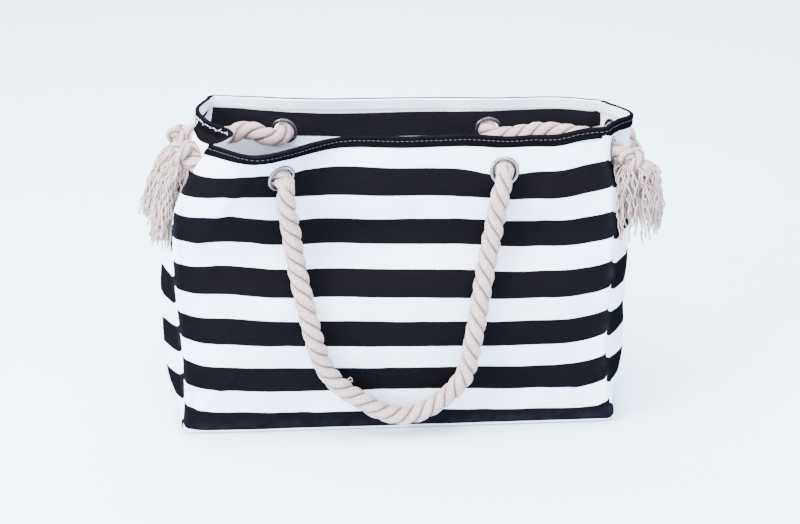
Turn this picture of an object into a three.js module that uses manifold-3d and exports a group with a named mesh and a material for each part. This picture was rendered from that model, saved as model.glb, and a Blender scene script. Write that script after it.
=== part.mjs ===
// A striped canvas beach bag with rope handles, in millimetres.
// +Z is up, +X to the bag's right and -Y to its front. The origin is the middle of the base, on the floor.
// Four canvas panels and a base make an open shell. Two ropes run through eight eyelets: each comes out
// of a side gusset to a knot and a tassel, runs inside round the corner, and leaves through the front or
// back panel as a handle.
import * as THREE from 'three';
import { mergeVertices } from 'three/addons/utils/BufferGeometryUtils.js';
import Module from 'manifold-3d';

const wasm = await Module();
wasm.setup();

// Driving dimensions.
const CANVAS = 2; // folded and stitched canvas, with its hems
const BASE_TUCK = 12; // radius at which the walls turn under the base
const FLOOR_GAP = 0.6; // the walls' lowest edge, above the underside of the base
const SEAM_INSET = 2.6; // each panel's edge to the corner seam
const GAP = 0.3; // between pieces that touch
const TAPE_HEIGHT = 10.5;
const TAPE_THICK = 1.2;
const ROPE = 17; // diameter
const EYELET_OUTER = 27.5; // diameters
const EYELET_HOLE = 20;
const EYELET_WALL = 0.8;
const FLANGE = 1;
const KNOT = 23; // diameter
const TASSEL_LENGTH = 60;
const RUN_DEPTH = 7; // the rope's clear distance from the canvas inside the mouth
const RUN_CORNER = 9; // how far from its eyelets the rope has turned along the mouth
const LABEL = { width: 22, height: 12, thick: 0.6, along: 0.74, up: 0.82, away: 0.5 };
const CELLS_ALONG = { front: 20, right: 12, back: 20, left: 14 };
const CELLS_UP = 10;
const ROUND = 16; // sides of an eyelet
const ROPE_SIDES = 10;
const HANDLE_STEPS = 34;
const RUN_STEPS = 14;

// The four corner seams: x and y at these shares of the wall's height, and z at the rim.
const LEVELS = [0, 0.12, 0.3, 0.55, 0.78, 0.88, 1];
const CORNERS = {
  frontLeft: {
    x: [-213, -209, -208, -211, -208, -196, -172], y: [-63, -65, -67, -68, -68, -67, -64], rim: 297,
  },
  frontRight: {
    x: [214, 205, 201, 203, 201, 196, 191], y: [-62, -62, -62, -62, -60, -56, -50], rim: 303,
  },
  backRight: {
    x: [212, 209, 208, 208, 208, 207, 204], y: [62, 62, 62, 60, 56, 50, 40], rim: 302,
  },
  backLeft: {
    x: [-212, -210, -210, -206, -193, -184, -177], y: [62, 64, 66, 68, 70, 70, 68], rim: 306,
  },
};

// The tape's lower edge, as a share of the wall's height.
const TAPE_LEVEL = 1 - TAPE_HEIGHT / CORNERS.frontLeft.rim;

// Each panel runs between two seams, counter-clockwise from above. swell says how far it stands out from
// the straight line between them: one row for each level, one value for each stop along it.
const WALLS = {
  front: {
    from: 'frontLeft', to: 'frontRight', rise: -3,
    levels: [0, 0.16, 0.33, 0.5, 0.66, 0.82, 1],
    stops: [0, 0.12, 0.32, 0.5, 0.7, 0.88, 1],
    swell: [
      [0, 1, 1, 1, 1, 1, 0],
      [0, 3, 4, 4, 3, 3, 0],
      [0, 6, 10, 11, 9, 5, 0],
      [0, 5, 7, 7, 7, 6, 0],
      [0, -1, -9, -10, -9, -4, 0],
      [0, 10, -5, -5, -4, 1, 0],
      [0, 36, -13, -7, -6, -5, 0],
    ],
  },
  right: {
    from: 'frontRight', to: 'backRight', rise: 0,
    levels: [0, 0.16, 0.4, 0.7, 0.88, 1],
    stops: [0, 0.3, 0.5, 0.75, 1],
    swell: [
      [0, 2, 3, 2, 0],
      [0, 17, 22, 15, 0],
      [0, 19, 25, 17, 0],
      [0, 12, 22, 15, 0],
      [0, 9, 23, 15, 0],
      [0, 14, 27, 18, 0],
    ],
  },
  back: {
    from: 'backRight', to: 'backLeft', rise: 3,
    levels: [0, 0.2, 0.45, 0.7, 0.88, 1],
    stops: [0, 0.1, 0.28, 0.5, 0.72, 0.88, 1],
    swell: [
      [0, 1, 1, 1, 1, 1, 0],
      [0, 4, 8, 10, 8, 4, 0],
      [0, 5, 9, 12, 10, 5, 0],
      [0, 3, -2, -6, -4, 2, 0],
      [0, 5, -4, -9, -9, -2, 0],
      [0, 7, -4, -10, -17, -8, 0],
    ],
  },
  left: {
    from: 'backLeft', to: 'frontLeft', rise: -2,
    levels: [0, 0.16, 0.42, 0.6, 0.7, 0.8, 0.9, 1],
    stops: [0, 0.24, 0.5, 0.74, 1],
    swell: [
      [0, 2, 3, 2, 0],
      [0, 14, 20, 16, 0],
      [0, 15, 21, 16, 0],
      [0, 12, 16, 11, 0],
      [0, 9, 9, 3, 0],
      [0, 7, 4, -6, 0],
      [0, 8, 3, -13, 0],
      [0, 14, 2, -19, 0],
    ],
  },
};

// Eyelets: the wall each is in, its place along that wall and its place up it.
const HANDLE_EYELETS = {
  front_left: ['front', 0.213, 0.902], front_right: ['front', 0.749, 0.88],
  back_right: ['back', 0.288, 0.893], back_left: ['back', 0.804, 0.885],
};
const GUSSET_EYELETS = {
  front_left: ['left', 0.86, 0.905], front_right: ['right', 0.17, 0.912],
  back_right: ['right', 0.83, 0.905], back_left: ['left', 0.17, 0.905],
};

// Each knot: how far out of its gusset's eyelet it is and how far below it, whether its rope turns down
// into it, and how many degrees its tassel leans outwards over the gusset's swell.
const KNOTS = {
  front_left: { out: 22, drop: 0, turnsDown: false, lean: 34 },
  front_right: { out: 18, drop: 9, turnsDown: false, lean: 16 },
  back_right: { out: 17.5, drop: 23, turnsDown: true, lean: 16 },
  back_left: { out: 20, drop: 10, turnsDown: false, lean: 30 },
};

const clamp01 = (t) => Math.min(1, Math.max(0, t));

// A smooth curve through values at uneven stops.
function through(stops, values, t) {
  const last = stops.length - 1;
  let i = 0;
  while (i < last - 1 && t > stops[i + 1]) i += 1;
  const slope = (a, b) => (values[b] - values[a]) / (stops[b] - stops[a]);
  const tangent = (k) => slope(Math.max(0, k - 1), Math.min(last, k + 1));
  const span = stops[i + 1] - stops[i];
  const s = (t - stops[i]) / span;
  const rest = 1 - s;
  const start = rest * rest * (1 + 2 * s) * values[i] + rest * rest * s * span * tangent(i);
  const end = s * s * (1 + 2 * rest) * values[i + 1] - s * s * rest * span * tangent(i + 1);
  return start + end;
}

// How far a wall has turned in under the base at a height.
function tuck(z) {
  const down = clamp01(1 - z / BASE_TUCK);
  return BASE_TUCK * (1 - Math.sqrt(1 - down * down));
}

function seamPoint(name, v) {
  const seam = CORNERS[name];
  const z = FLOOR_GAP + CANVAS / 2 + v * (seam.rim - FLOOR_GAP - CANVAS / 2);
  const x = through(LEVELS, seam.x, v);
  const y = through(LEVELS, seam.y, v);
  const inset = tuck(z - FLOOR_GAP - CANVAS / 2);
  return new THREE.Vector3(x - Math.sign(x) * inset, y - Math.sign(y) * inset, z);
}

// The middle of a wall's canvas before the eyelets go in: u along it, v up it.
function loosePoint(name, u, v) {
  const wall = WALLS[name];
  const a = seamPoint(wall.from, v);
  const b = seamPoint(wall.to, v);
  const out = new THREE.Vector3(b.y - a.y, a.x - b.x, 0).normalize();
  const rows = wall.swell.map((row) => through(wall.stops, row, u));
  const point = a.clone().lerp(b, u).addScaledVector(out, through(wall.levels, rows, v));
  point.z += wall.rise * v * v * Math.sin(Math.PI * u);
  return point;
}

function normalOf(surface, name, u, v) {
  const step = 1e-3;
  const across = surface(name, u + step, v).sub(surface(name, u - step, v));
  const up = surface(name, u, v).sub(surface(name, u, v - step));
  return across.cross(up).normalize();
}

function eyeletAt([wall, u, v]) {
  return { wall, centre: loosePoint(wall, u, v), out: normalOf(loosePoint, wall, u, v) };
}

const corners = Object.keys(HANDLE_EYELETS);
const handleEyelets = {};
const gussetEyelets = {};
for (const corner of corners) {
  handleEyelets[corner] = eyeletAt(HANDLE_EYELETS[corner]);
  gussetEyelets[corner] = { ...eyeletAt(GUSSET_EYELETS[corner]), knot: KNOTS[corner] };
}
const allEyelets = [...Object.values(handleEyelets), ...Object.values(gussetEyelets)];
const eyeletsIn = (wall) => allEyelets.filter((eyelet) => eyelet.wall === wall);

// The middle of a wall's canvas, pressed flat round each eyelet.
function wallPoint(name, u, v) {
  const point = loosePoint(name, u, v);
  for (const { centre, out } of eyeletsIn(name)) {
    const away = point.clone().sub(centre);
    const press = 1 - THREE.MathUtils.smoothstep(away.length(), EYELET_OUTER / 2 + 1.5, EYELET_OUTER);
    point.addScaledVector(out, -press * away.dot(out));
  }
  return point;
}

const wallNormal = (name, u, v) => normalOf(wallPoint, name, u, v);

// One closed slab between two grids of points, given as rows of THREE.Vector3.
function slab(inner, outer, ring = false) {
  const rows = inner.length;
  const columns = inner[0].length;
  const positions = [...inner, ...outer].flat().flatMap((p) => [p.x, p.y, p.z]);
  const at = (side, r, c) => side * rows * columns + r * columns + (c % columns);
  const faces = [];
  const quad = (a, b, c, d) => faces.push(a, b, c, a, c, d);
  const spans = ring ? columns : columns - 1;
  for (let r = 0; r < rows - 1; r += 1) {
    for (let c = 0; c < spans; c += 1) {
      quad(at(1, r, c), at(1, r, c + 1), at(1, r + 1, c + 1), at(1, r + 1, c));
      quad(at(0, r, c), at(0, r + 1, c), at(0, r + 1, c + 1), at(0, r, c + 1));
    }
  }
  for (let c = 0; c < spans; c += 1) {
    quad(at(0, 0, c), at(0, 0, c + 1), at(1, 0, c + 1), at(1, 0, c));
    quad(at(1, rows - 1, c), at(1, rows - 1, c + 1), at(0, rows - 1, c + 1), at(0, rows - 1, c));
  }
  if (!ring) {
    for (let r = 0; r < rows - 1; r += 1) {
      const c = columns - 1;
      quad(at(0, r, 0), at(1, r, 0), at(1, r + 1, 0), at(0, r + 1, 0));
      quad(at(1, r, c), at(0, r, c), at(0, r + 1, c), at(1, r + 1, c));
    }
  }
  const geometry = new THREE.BufferGeometry();
  geometry.setAttribute('position', new THREE.Float32BufferAttribute(positions, 3));
  geometry.setIndex(faces);
  return geometry;
}

function toSolid(geometry) {
  const plain = geometry.clone();
  plain.deleteAttribute('normal');
  plain.deleteAttribute('uv');
  const merged = mergeVertices(plain, 1e-4);
  return new wasm.Manifold(new wasm.Mesh({
    numProp: 3,
    vertProperties: new Float32Array(merged.attributes.position.array),
    triVerts: new Uint32Array(merged.index.array),
  }));
}

function toGeometry(solid) {
  const mesh = solid.getMesh();
  const geometry = new THREE.BufferGeometry();
  geometry.setAttribute('position', new THREE.BufferAttribute(mesh.vertProperties, mesh.numProp));
  geometry.setIndex(new THREE.BufferAttribute(mesh.triVerts, 1));
  return geometry;
}

// A turned piece whose axis leaves a point along a direction.
function turned(profile, sides, point, direction) {
  const points = profile.map(([r, z]) => new THREE.Vector2(r, z));
  const geometry = new THREE.LatheGeometry(points, sides);
  const turn = new THREE.Quaternion().setFromUnitVectors(new THREE.Vector3(0, 1, 0), direction);
  geometry.applyQuaternion(turn);
  geometry.translate(point.x, point.y, point.z);
  return geometry;
}

// The room that an eyelet takes out of the canvas: its barrel and a shallow seat for each flange.
function eyeletRoom({ centre, out }) {
  const barrel = EYELET_HOLE / 2 + EYELET_WALL + GAP;
  const rim = EYELET_OUTER / 2 + GAP;
  const seat = CANVAS / 2 - GAP;
  const reach = CANVAS + FLANGE + 2;
  const profile = [
    [0, -reach], [rim, -reach], [rim, -seat], [barrel, -seat], [barrel, seat], [rim, seat], [rim, reach],
    [0, reach],
  ];
  return toSolid(turned(profile, ROUND, centre, out));
}

// Where a wall's columns of facets stand, from just inside one seam to just inside the other.
function wallColumns(name) {
  const wall = WALLS[name];
  const edge = SEAM_INSET / seamPoint(wall.from, 0.5).distanceTo(seamPoint(wall.to, 0.5));
  const count = CELLS_ALONG[name];
  return Array.from({ length: count + 1 }, (_, c) => edge + ((1 - 2 * edge) * c) / count);
}

// A row of points along a wall, off the middle of its canvas.
function wallRow(name, v, offset) {
  return wallColumns(name).map((u) => (
    wallPoint(name, u, v).addScaledVector(wallNormal(name, u, v), offset)
  ));
}

function wallSolid(name, eyelets) {
  const levels = [0, 0.3, 0.7, 1.4].map((radii) => (radii * BASE_TUCK) / CORNERS.frontLeft.rim);
  const first = levels[levels.length - 1];
  for (let r = 1; r <= CELLS_UP; r += 1) levels.push(first + ((TAPE_LEVEL - first) * r) / CELLS_UP);
  levels.push(1);
  const sheet = (side) => levels.map((v) => wallRow(name, v, (side * CANVAS) / 2));
  let solid = toSolid(slab(sheet(-1), sheet(1)));
  for (const eyelet of eyelets) solid = solid.subtract(eyeletRoom(eyelet));
  return toGeometry(solid);
}

// The base fills the space inside the tucked edges of the walls.
function baseGeometry() {
  const reach = CANVAS / 2 + 1;
  const outline = ['frontLeft', 'frontRight', 'backRight', 'backLeft'].map((name) => {
    const p = seamPoint(name, 0);
    return new THREE.Vector2(p.x - Math.sign(p.x) * reach, p.y - Math.sign(p.y) * reach);
  });
  return new THREE.ExtrudeGeometry(new THREE.Shape(outline), { depth: CANVAS, bevelEnabled: false });
}

// The binding round the outside of the rim, one band past all four corners.
function tapeGeometry() {
  const lift = CANVAS / 2 + GAP;
  const ring = (v, offset) => Object.keys(WALLS).flatMap((name) => wallRow(name, v, offset));
  const inner = [ring(TAPE_LEVEL, lift), ring(1, lift)];
  const outer = [ring(TAPE_LEVEL, lift + TAPE_THICK), ring(1, lift + TAPE_THICK)];
  return slab(inner, outer, true);
}

// The eyelet: an outer flange with its barrel, and the washer that it is set over, inside.
function eyeletGeometry({ centre, out }) {
  const hole = EYELET_HOLE / 2;
  const face = CANVAS / 2;
  const profile = [
    [hole, -CANVAS / 2 - FLANGE], [hole + EYELET_WALL, -CANVAS / 2 - FLANGE],
    [hole + EYELET_WALL, face], [EYELET_OUTER / 2, face], [EYELET_OUTER / 2 - 1, face + FLANGE],
    [hole + 0.6, face + FLANGE], [hole, face], [hole, -CANVAS / 2 - FLANGE],
  ];
  return turned(profile, ROUND, centre, out);
}

function washerGeometry({ centre, out }) {
  const inside = EYELET_HOLE / 2 + EYELET_WALL + GAP;
  const face = -CANVAS / 2;
  const profile = [
    [inside, face - FLANGE], [EYELET_OUTER / 2, face - FLANGE], [EYELET_OUTER / 2, face], [inside, face],
    [inside, face - FLANGE],
  ];
  return turned(profile, ROUND, centre, out);
}

// A rope along points, with flat ends.
function ropeGeometry(points, steps) {
  const section = new THREE.Shape();
  section.absarc(0, 0, ROPE / 2, 0, 2 * Math.PI);
  const path = new THREE.CatmullRomCurve3(points, false, 'centripetal');
  const options = { steps, curveSegments: ROPE_SIDES / 2, bevelEnabled: false, extrudePath: path };
  return new THREE.ExtrudeGeometry(section, options);
}

const along = (base, direction, distance) => base.clone().addScaledVector(direction, distance);

function knotCentre({ knot, centre, out }) {
  const point = along(centre, out, knot.out);
  point.z -= knot.drop;
  return point;
}

// Rope from the outer face of a handle eyelet, inside round the corner, out of the gusset's eyelet and
// down to its knot.
function runGeometry(handle, gusset) {
  const outer = CANVAS / 2 + FLANGE;
  const inside = ROPE / 2 + RUN_DEPTH;
  const exit = along(gusset.centre, gusset.out, outer + 1);
  const knot = knotCentre(gusset);
  const neck = gusset.knot.turnsDown ? new THREE.Vector3(0, 0, 1) : exit.clone().sub(knot).normalize();
  const bend = along(gusset.centre, gusset.out, gusset.knot.out - 3);
  bend.z -= 2;
  const start = along(handle.centre, handle.out, -inside);
  const end = along(gusset.centre, gusset.out, -inside);
  const across = end.clone().sub(start).normalize();
  const points = [
    along(handle.centre, handle.out, outer),
    along(handle.centre, handle.out, -inside / 2),
    along(start, across, RUN_CORNER),
    start.clone().lerp(end, 0.5),
    along(end, across, -RUN_CORNER),
    along(gusset.centre, gusset.out, -inside / 2),
    gusset.centre,
    exit,
    ...(gusset.knot.turnsDown ? [bend] : []),
    along(knot, neck, KNOT / 2 + 5 * GAP),
  ];
  return ropeGeometry(points, RUN_STEPS);
}

// A handle turns about the line between two pivots just outside its eyelets.
const PIVOT_OUT = CANVAS / 2 + FLANGE + 0.5 + ROPE / 2;

// The route of each hanging handle between its pivots: x, y and z.
const HANDLE_ROUTES = {
  front: [
    [-105, -82, 246], [-101, -79, 214], [-97, -79, 182], [-91, -86, 151], [-85, -89, 123],
    [-79, -88, 97], [-70, -86, 75], [-56, -84, 57], [-38, -82, 43], [-20, -81, 31], [-1, -80, 25],
    [18, -80, 28], [35, -81, 38], [50, -84, 53], [61, -86, 71], [66, -88, 94], [70, -88, 120],
    [75, -83, 150], [81, -75, 182], [87, -71, 213], [92, -71, 243],
  ],
  back: [
    [-103, 78, 245], [-99, 78, 214], [-94, 81, 183], [-89, 88, 152], [-83, 91, 123], [-74, 91, 97],
    [-61, 89, 73], [-43, 87, 52], [-23, 85, 39], [-1, 84, 34], [21, 84, 38], [41, 86, 51],
    [57, 88, 72], [69, 89, 97], [77, 89, 123], [83, 86, 152], [88, 78, 183], [92, 72, 213], [94, 70, 245],
  ],
};

function handleGeometry(left, right, route) {
  const a = along(left.centre, left.out, PIVOT_OUT);
  const b = along(right.centre, right.out, PIVOT_OUT);
  const hang = route.map(([x, y, z]) => new THREE.Vector3(x, y, z));
  const tube = toSolid(ropeGeometry([a, ...hang, b], HANDLE_STEPS));
  const ball = (p) => toSolid(new THREE.SphereGeometry(ROPE / 2, ROPE_SIDES, 8).translate(p.x, p.y, p.z));
  return toGeometry(tube.add(ball(a)).add(ball(b)));
}

function knotGeometry(gusset) {
  const centre = knotCentre(gusset);
  return new THREE.SphereGeometry(KNOT / 2, 14, 9).translate(centre.x, centre.y, centre.z);
}

// The unlaid end of the rope below its knot, spread to a soft brush.
function tasselGeometry(gusset) {
  const lean = THREE.MathUtils.degToRad(gusset.knot.lean);
  const outwards = Math.sign(gusset.centre.x);
  const down = new THREE.Vector3(outwards * Math.sin(lean), 0, -Math.cos(lean));
  const top = KNOT / 2 + 1.2;
  const end = KNOT / 2 + TASSEL_LENGTH;
  const profile = [
    [0, top], [6, top + 0.6], [8.5, top + 12], [12, top + 30], [14, end - 8], [10, end], [0, end],
  ];
  return turned(profile, 12, knotCentre(gusset), down);
}

// A blank woven label sewn inside the back panel, below the left handle eyelet.
function labelGeometry() {
  const centre = wallPoint('back', LABEL.along, LABEL.up);
  const inward = wallNormal('back', LABEL.along, LABEL.up).negate();
  const shape = new THREE.BoxGeometry(LABEL.width, LABEL.height, LABEL.thick);
  const turn = new THREE.Quaternion().setFromUnitVectors(new THREE.Vector3(0, 0, 1), inward);
  shape.applyQuaternion(turn);
  const away = along(centre, inward, CANVAS / 2 + GAP + LABEL.thick / 2 + LABEL.away);
  return shape.translate(away.x, away.y, away.z);
}

const canvas = new THREE.MeshStandardMaterial({ color: 0xe8e9ee, roughness: 0.9, metalness: 0 });
const tape = new THREE.MeshStandardMaterial({ color: 0x20222b, roughness: 0.85, metalness: 0 });
const rope = new THREE.MeshStandardMaterial({ color: 0xd8cdc4, roughness: 0.95, metalness: 0 });
const nickel = new THREE.MeshStandardMaterial({ color: 0xb9babd, roughness: 0.25, metalness: 1 });
const label = new THREE.MeshStandardMaterial({ color: 0xf2f2f2, roughness: 0.8, metalness: 0 });

const bag = new THREE.Group();
function add(name, geometry, material) {
  const mesh = new THREE.Mesh(geometry, material);
  mesh.name = name;
  bag.add(mesh);
}

add('front_panel', wallSolid('front', eyeletsIn('front')), canvas);
add('back_panel', wallSolid('back', eyeletsIn('back')), canvas);
add('left_gusset', wallSolid('left', eyeletsIn('left')), canvas);
add('right_gusset', wallSolid('right', eyeletsIn('right')), canvas);
add('base_panel', baseGeometry(), canvas);
add('rim_tape', tapeGeometry(), tape);
add('inner_label', labelGeometry(), label);

for (const corner of corners) {
  add(`${corner}_handle_eyelet`, eyeletGeometry(handleEyelets[corner]), nickel);
  add(`${corner}_handle_washer`, washerGeometry(handleEyelets[corner]), nickel);
  add(`${corner}_gusset_eyelet`, eyeletGeometry(gussetEyelets[corner]), nickel);
  add(`${corner}_gusset_washer`, washerGeometry(gussetEyelets[corner]), nickel);
  add(`${corner}_rope_run`, runGeometry(handleEyelets[corner], gussetEyelets[corner]), rope);
  add(`${corner}_knot`, knotGeometry(gussetEyelets[corner]), rope);
  add(`${corner}_tassel`, tasselGeometry(gussetEyelets[corner]), rope);
}
for (const side of ['front', 'back']) {
  const [left, right] = [handleEyelets[`${side}_left`], handleEyelets[`${side}_right`]];
  add(`${side}_handle`, handleGeometry(left, right, HANDLE_ROUTES[side]), rope);
}

export default bag;
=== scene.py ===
"""A striped canvas beach bag with rope handles: its look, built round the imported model.

Lengths are in millimetres up to new_mesh, which makes them metres. +Z is up, +X to the bag's right and
-Y to its front. One lofted shell makes the canvas walls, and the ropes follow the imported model's routes.
"""

import math

import bpy
import numpy as np
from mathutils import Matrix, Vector, noise


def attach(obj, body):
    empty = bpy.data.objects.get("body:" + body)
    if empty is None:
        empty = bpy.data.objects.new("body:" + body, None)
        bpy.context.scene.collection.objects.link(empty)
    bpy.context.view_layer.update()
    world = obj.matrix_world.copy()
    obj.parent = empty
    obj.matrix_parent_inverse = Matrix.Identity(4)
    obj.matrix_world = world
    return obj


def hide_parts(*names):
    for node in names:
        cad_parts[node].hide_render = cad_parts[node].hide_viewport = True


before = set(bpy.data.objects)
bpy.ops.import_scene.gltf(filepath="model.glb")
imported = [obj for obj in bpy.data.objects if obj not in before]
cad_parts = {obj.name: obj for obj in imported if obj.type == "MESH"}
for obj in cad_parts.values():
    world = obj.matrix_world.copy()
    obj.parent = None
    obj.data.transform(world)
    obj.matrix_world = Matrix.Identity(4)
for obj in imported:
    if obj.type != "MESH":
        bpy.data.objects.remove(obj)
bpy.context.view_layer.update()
MM = 0.001
DOWN = np.array([0, 0, -1.0])

# ---- The bag's sizes and places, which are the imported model's.

CANVAS = 2.0
BASE_TUCK = 12.0
FLOOR_GAP = 0.6
ROPE = 17.0
EYELET_OUTER = 27.5
EYELET_HOLE = 20.0
EYELET_WALL = 0.8
FLANGE = 1.0
KNOT = 23.0
TASSEL_LENGTH = 60.0
LABEL = (22.0, 12.0, 0.6)
LABEL_PLACE = (0.74, 0.82)
RUN_DEPTH = 7.0
RUN_CORNER = 9.0
PIVOT_OUT = CANVAS / 2 + FLANGE + 0.5 + ROPE / 2
PRESSED_FLAT = 1.5  # round an eyelet

LEVELS = [0, 0.12, 0.3, 0.55, 0.78, 0.88, 1]
CORNERS = {
    "frontLeft": ([-213, -209, -208, -211, -208, -196, -172], [-63, -65, -67, -68, -68, -67, -64], 297),
    "frontRight": ([214, 205, 201, 203, 201, 196, 191], [-62, -62, -62, -62, -60, -56, -50], 303),
    "backRight": ([212, 209, 208, 208, 208, 207, 204], [62, 62, 62, 60, 56, 50, 40], 302),
    "backLeft": ([-212, -210, -210, -206, -193, -184, -177], [62, 64, 66, 68, 70, 70, 68], 306),
}
WALLS = {  # how far each swells outwards, at levels up it and stops along it, and how its rim rises
    "front": {
        "rise": -3, "levels": [0, 0.16, 0.33, 0.5, 0.66, 0.82, 1],
        "stops": [0, 0.12, 0.32, 0.5, 0.7, 0.88, 1],
        "swell": [
            [1, 1, 1, 1, 1], [3, 4, 4, 3, 3], [6, 10, 11, 9, 5], [5, 7, 7, 7, 6],
            [-1, -9, -10, -9, -4], [10, -5, -5, -4, 1], [36, -13, -7, -6, -5],
        ],
    },
    "right": {
        "rise": 0, "levels": [0, 0.16, 0.4, 0.7, 0.88, 1],
        "stops": [0, 0.3, 0.5, 0.75, 1],
        "swell": [[2, 3, 2], [17, 22, 15], [19, 25, 17], [12, 22, 15], [9, 23, 15], [14, 27, 18]],
    },
    "back": {
        "rise": 3, "levels": [0, 0.2, 0.45, 0.7, 0.88, 1],
        "stops": [0, 0.1, 0.28, 0.5, 0.72, 0.88, 1],
        "swell": [
            [1, 1, 1, 1, 1], [4, 8, 10, 8, 4], [5, 9, 12, 10, 5],
            [3, -2, -6, -4, 2], [5, -4, -9, -9, -2], [7, -4, -10, -17, -8],
        ],
    },
    "left": {
        "rise": -2, "levels": [0, 0.16, 0.42, 0.6, 0.7, 0.8, 0.9, 1],
        "stops": [0, 0.24, 0.5, 0.74, 1],
        "swell": [
            [2, 3, 2], [14, 20, 16], [15, 21, 16], [12, 16, 11],
            [9, 9, 3], [7, 4, -6], [8, 3, -13], [14, 2, -19],
        ],
    },
}
HANDLE_EYELETS = {
    "front_left": ("front", 0.213, 0.902), "front_right": ("front", 0.749, 0.88),
    "back_right": ("back", 0.288, 0.893), "back_left": ("back", 0.804, 0.885),
}
GUSSET_EYELETS = {
    "front_left": ("left", 0.86, 0.905), "front_right": ("right", 0.17, 0.912),
    "back_right": ("right", 0.83, 0.905), "back_left": ("left", 0.17, 0.905),
}
KNOTS = {  # out of the gusset's eyelet, below it, whether the rope turns down into it, and degrees of lean
    "front_left": (22, 0, False, 34),
    "front_right": (18, 9, False, 16),
    "back_right": (17.5, 23, True, 16),
    "back_left": (20, 10, False, 30),
}
ROUTES = {
    "front": [
        (-105, -82, 246), (-101, -79, 214), (-97, -79, 182), (-91, -86, 151), (-85, -89, 123),
        (-79, -88, 97), (-70, -86, 75), (-56, -84, 57), (-38, -82, 43), (-20, -81, 31), (-1, -80, 25),
        (18, -80, 28), (35, -81, 38), (50, -84, 53), (61, -86, 71), (66, -88, 94), (70, -88, 120),
        (75, -83, 150), (81, -75, 182), (87, -71, 213), (92, -71, 243),
    ],
    "back": [
        (-103, 78, 245), (-99, 78, 214), (-94, 81, 183), (-89, 88, 152), (-83, 91, 123), (-74, 91, 97),
        (-61, 89, 73), (-43, 87, 52), (-23, 85, 39), (-1, 84, 34), (21, 84, 38), (41, 86, 51),
        (57, 88, 72), (69, 89, 97), (77, 89, 123), (83, 86, 152), (88, 78, 183), (92, 72, 213),
        (94, 70, 245),
    ],
}

# ---- The walls' shape.


def smooth(t):
    t = np.clip(t, 0, 1)
    return t * t * (3 - 2 * t)


def bell(x, width, middle=0.0):
    return np.exp(-(((x - middle) / width) ** 2))


def norm(v):
    return np.linalg.norm(v, axis=-1)


def unit(v):
    return v / norm(v)[..., None]


def lengths(line):
    """How far along a line, or along each line side by side, every point is."""
    gaps = norm(np.diff(line, axis=0))
    return np.concatenate([np.zeros_like(gaps[:1]), np.cumsum(gaps, axis=0)])


def around(ring):
    """A ring's points with its first one again at the end."""
    return np.vstack([ring, ring[:1]])


def noise_at(points):
    """Smooth noise, from -1 to 1, at each point of an array."""
    points = np.asarray(points, float)
    flat = [noise.noise(Vector(p)) for p in points.reshape(-1, 3)]
    return np.array(flat).reshape(points.shape[:-1])


def through(stops, values, t):
    """A smooth curve through values, one row for each stop, at every t."""
    stops, t = np.asarray(stops, float), np.atleast_1d(t)
    values = np.asarray(values, float)
    if values.ndim == 1:
        values = values[:, None]
    values = np.broadcast_to(values, (len(stops), len(t)))
    k = np.arange(len(stops))
    low, high = np.maximum(k - 1, 0), np.minimum(k + 1, len(stops) - 1)
    tangent = (values[high] - values[low]) / (stops[high] - stops[low])[:, None]
    i = np.searchsorted(stops[1:-1], t, side="left")
    n = np.arange(len(t))
    span = stops[i + 1] - stops[i]
    s = (t - stops[i]) / span
    r = 1 - s
    start = r * r * (1 + 2 * s) * values[i, n] + r * r * s * span * tangent[i, n]
    end = s * s * (1 + 2 * r) * values[i + 1, n] - s * s * r * span * tangent[i + 1, n]
    return start + end


def seam(name, v):
    xs, ys, rim = CORNERS[name]
    z = FLOOR_GAP + CANVAS / 2 + v * (rim - FLOOR_GAP - CANVAS / 2)
    x, y = through(LEVELS, xs, v), through(LEVELS, ys, v)
    down = np.clip(1 - (z - FLOOR_GAP - CANVAS / 2) / BASE_TUCK, 0, 1)
    inset = BASE_TUCK * (1 - np.sqrt(1 - down * down))
    return np.stack([x - np.sign(x) * inset, y - np.sign(y) * inset, z], -1)


def ends(name, v):
    """The seams at a wall's two ends, at every v up them."""
    k, corners = list(WALLS).index(name), list(CORNERS)
    return seam(corners[k], v), seam(corners[(k + 1) % len(corners)], v)


def loose_wall(name, u, v):
    """The middle of a wall's canvas before the eyelets go in, at every u along it and v up it."""
    wall = WALLS[name]
    a, b = ends(name, v)
    out = unit(np.stack([b[:, 1] - a[:, 1], a[:, 0] - b[:, 0], np.zeros(len(u))], -1))
    rows = np.stack([through(wall["stops"], [0, *row, 0], u) for row in wall["swell"]])
    point = a + (b - a) * u[:, None] + out * through(wall["levels"], rows, v)[:, None]
    point[:, 2] += wall["rise"] * v * v * np.sin(np.pi * u)
    return point


def wall_normal(surface, name, u, v):
    step = 1e-3
    across = surface(name, u + step, v) - surface(name, u - step, v)
    up = surface(name, u, v) - surface(name, u, v - step)
    return unit(np.cross(across, up))


class Eyelet:
    def __init__(self, wall, u, v):
        at = np.array([u]), np.array([v])
        self.wall = wall
        self.centre = loose_wall(wall, *at)[0]
        self.out = wall_normal(loose_wall, wall, *at)[0]

    def at(self, out):
        """A point on its axis, so far out of the canvas's middle."""
        return self.centre + self.out * out


handle_eyelets = {c: Eyelet(*place) for c, place in HANDLE_EYELETS.items()}
gusset_eyelets = {c: Eyelet(*place) for c, place in GUSSET_EYELETS.items()}
eyelets = [*handle_eyelets.values(), *gusset_eyelets.values()]


def eyelets_in(wall):
    return [eyelet for eyelet in eyelets if eyelet.wall == wall]


def wall_point(name, u, v):
    """The middle of a wall's canvas, pressed flat round each eyelet."""
    point = loose_wall(name, u, v)
    for eyelet in eyelets_in(name):
        away = point - eyelet.centre
        near = EYELET_OUTER / 2 + PRESSED_FLAT
        press = 1 - smooth((norm(away) - near) / (EYELET_OUTER - near))
        point = point - eyelet.out * (press * (away @ eyelet.out))[:, None]
    return point


# ---- Meshes.


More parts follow.
